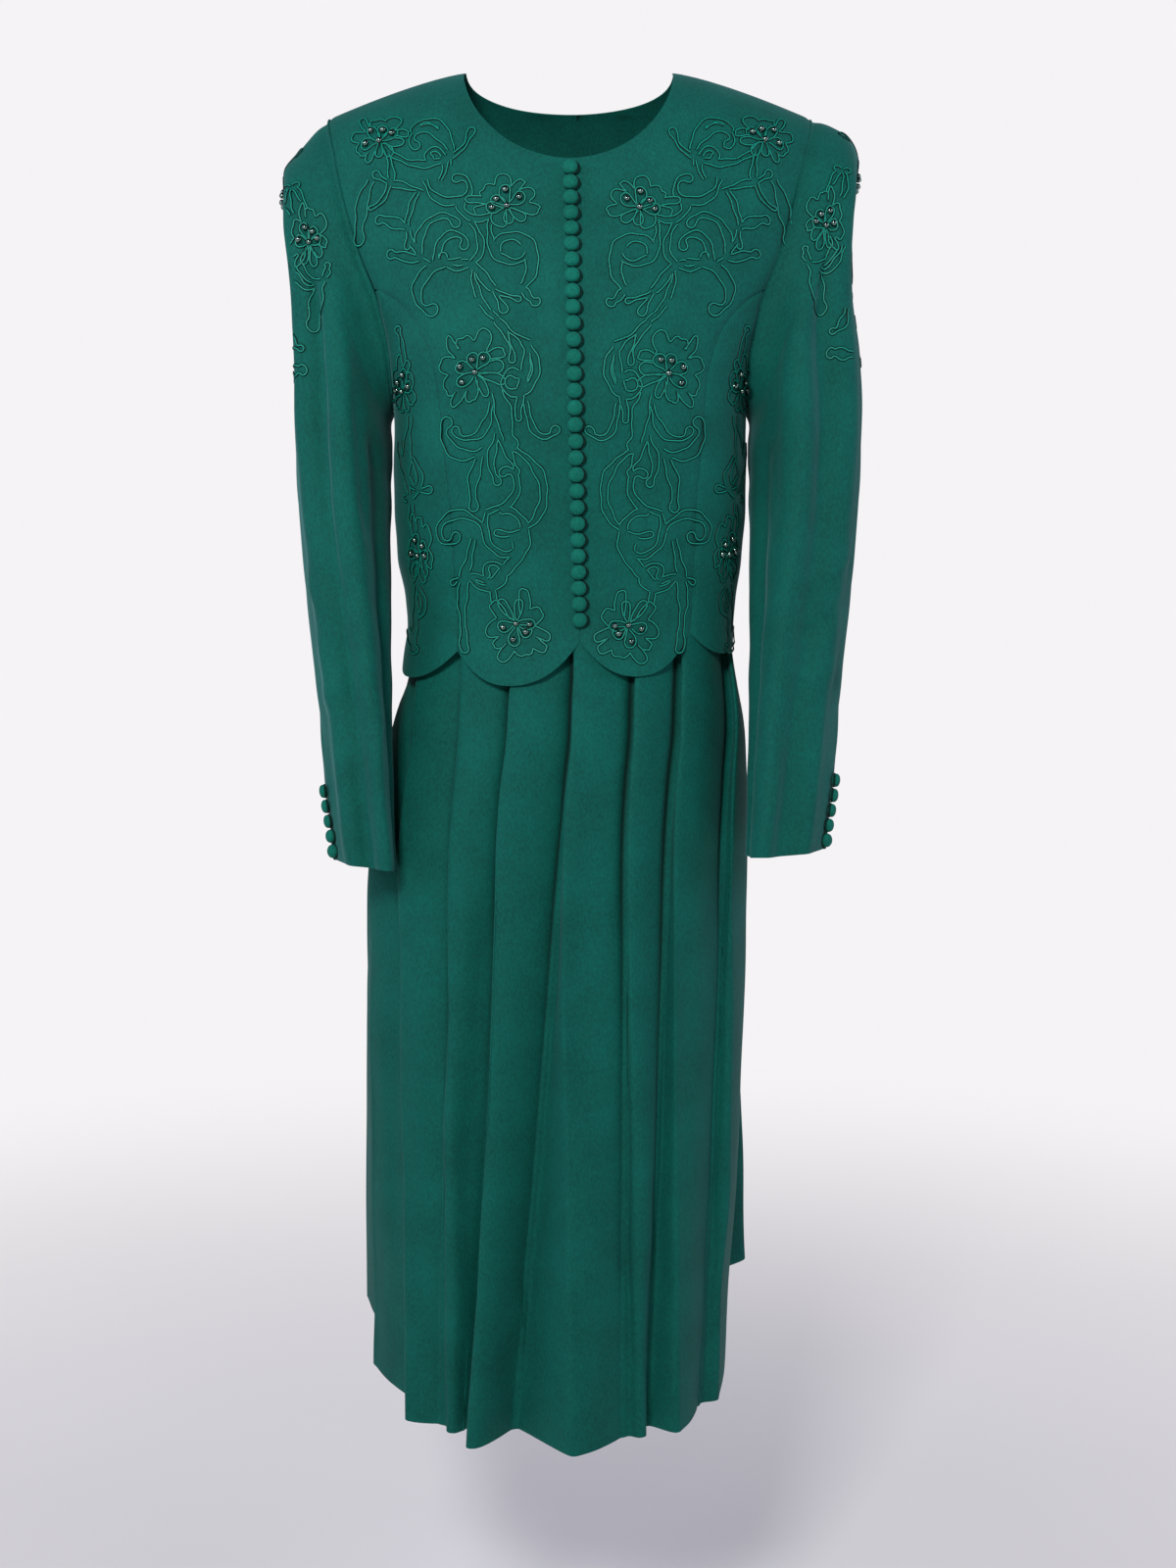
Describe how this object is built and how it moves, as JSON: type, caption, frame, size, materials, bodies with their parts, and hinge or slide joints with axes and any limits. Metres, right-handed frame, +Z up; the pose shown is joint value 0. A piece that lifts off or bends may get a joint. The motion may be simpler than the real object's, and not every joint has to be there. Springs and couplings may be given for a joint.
{
  "type": "beaded midi dress",
  "caption": "Long-sleeved crepe midi dress with padded shoulders, a scalloped bodice over a knife-pleated skirt, covered buttons and cord-and-bead flower scrolls.",
  "frame": {"origin": "midway between the two points where the neckline meets the shoulder seams, 20 mm below them, where a wearer's shoulders hold the dress", "axes": "+Z up, from hem to neck; +X towards the viewer's right as the dress is seen from the front; the front faces -Y"},
  "size_m": [0.4761, 0.4222, 1.1006],
  "materials": {
    "green_crepe": "matte forest-green crepe with a fine pebbled surface and a soft sheen",
    "covered_button": "crepe stretched over a ball button",
    "soutache_cord": "narrow dark-green braided cord with a groove down its middle",
    "black_bead": "round shiny black bead"
  },
  "bodies": {
    "root": {"front_centre_left": "green_crepe", "front_centre_right": "green_crepe", "front_side_left": "green_crepe", "front_side_right": "green_crepe", "back_bodice": "green_crepe", "sleeve_left": "green_crepe", "sleeve_right": "green_crepe", "skirt_front": "green_crepe", "skirt_back_left": "green_crepe", "skirt_back_right": "green_crepe", "front_button_01": "covered_button", "front_button_02": "covered_button", "front_button_03": "covered_button", "front_button_04": "covered_button", "front_button_05": "covered_button", "front_button_06": "covered_button", "front_button_07": "covered_button", "front_button_08": "covered_button", "front_button_09": "covered_button", "front_button_10": "covered_button", "front_button_11": "covered_button", "front_button_12": "covered_button", "front_button_13": "covered_button", "front_button_14": "covered_button", "front_button_15": "covered_button", "front_button_16": "covered_button", "front_button_17": "covered_button", "front_button_18": "covered_button", "front_button_19": "covered_button", "front_button_20": "covered_button", "front_button_21": "covered_button", "front_button_22": "covered_button", "front_button_23": "covered_button", "front_button_24": "covered_button", "front_button_25": "covered_button", "front_button_26": "covered_button", "front_button_27": "covered_button", "front_button_28": "covered_button", "front_button_29": "covered_button", "cuff_button_left_1": "covered_button", "cuff_button_left_2": "covered_button", "cuff_button_left_3": "covered_button", "cuff_button_left_4": "covered_button", "cuff_button_left_5": "covered_button", "cuff_button_right_1": "covered_button", "cuff_button_right_2": "covered_button", "cuff_button_right_3": "covered_button", "cuff_button_right_4": "covered_button", "cuff_button_right_5": "covered_button"}
  },
  "joints": []
}
